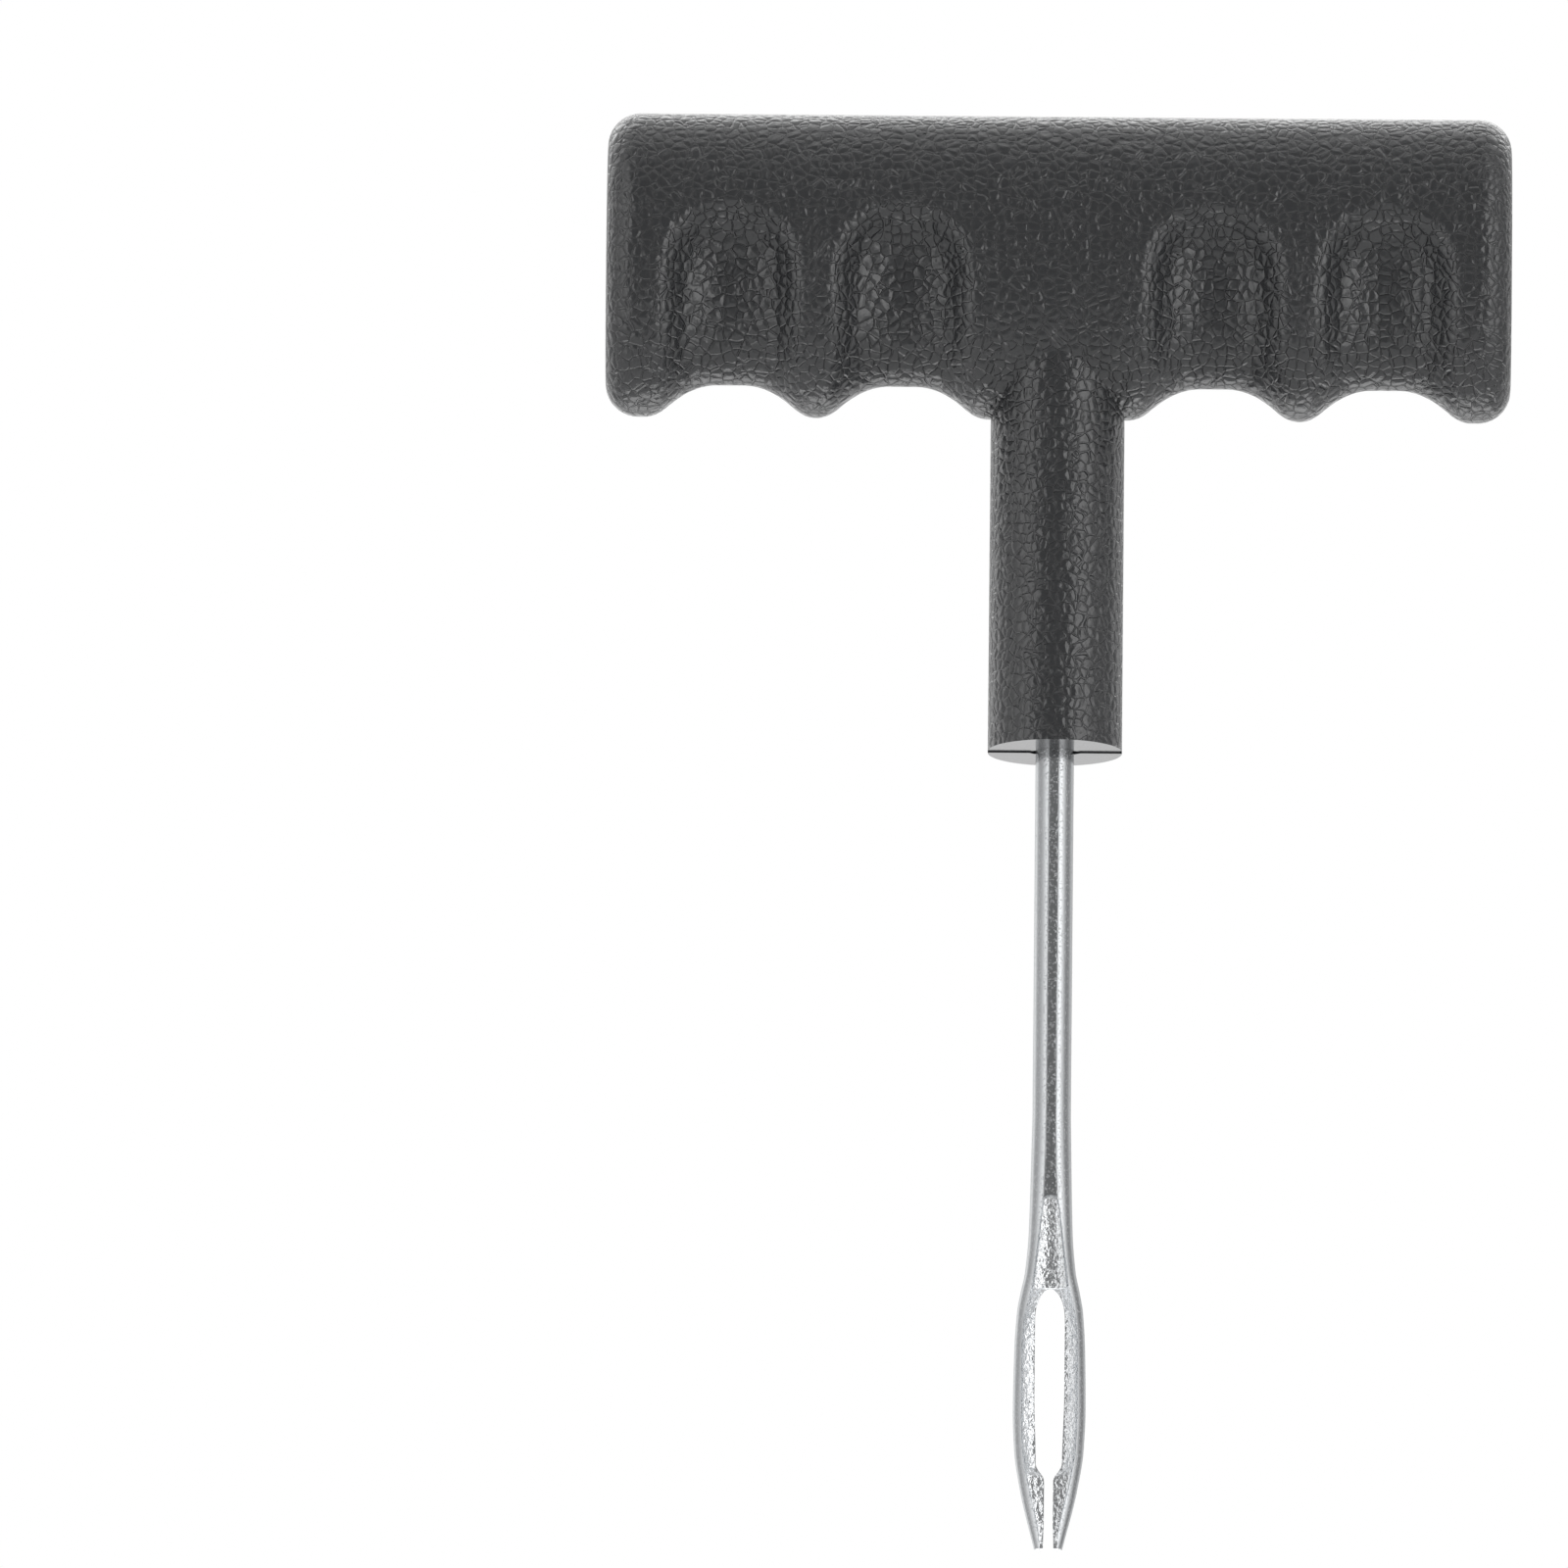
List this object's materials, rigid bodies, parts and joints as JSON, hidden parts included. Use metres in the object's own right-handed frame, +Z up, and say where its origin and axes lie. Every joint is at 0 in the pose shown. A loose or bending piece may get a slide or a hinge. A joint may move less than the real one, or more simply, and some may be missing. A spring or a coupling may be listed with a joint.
{
  "type": "tyre plug insertion tool",
  "caption": "T-handle tyre plug insertion tool: moulded grip bar with finger grooves and round stem, holding a steel needle that ends in a split eye.",
  "frame": {"origin": "middle of the grip bar: on the needle's axis, halfway along and through the bar, 17 mm below its top", "axes": "+Z up the needle's axis towards the grip, X along the grip bar, -Y the front"},
  "size_m": [0.1, 0.0196, 0.1605],
  "materials": {
    "grip_plastic": "black, pebble-grained, satin",
    "needle_steel": "satin drawn steel, as-forged inside the eye"
  },
  "bodies": {
    "root": {"front_grip_half": "grip_plastic", "back_grip_half": "grip_plastic", "needle_shank": "needle_steel", "needle_head": "needle_steel"}
  },
  "joints": []
}
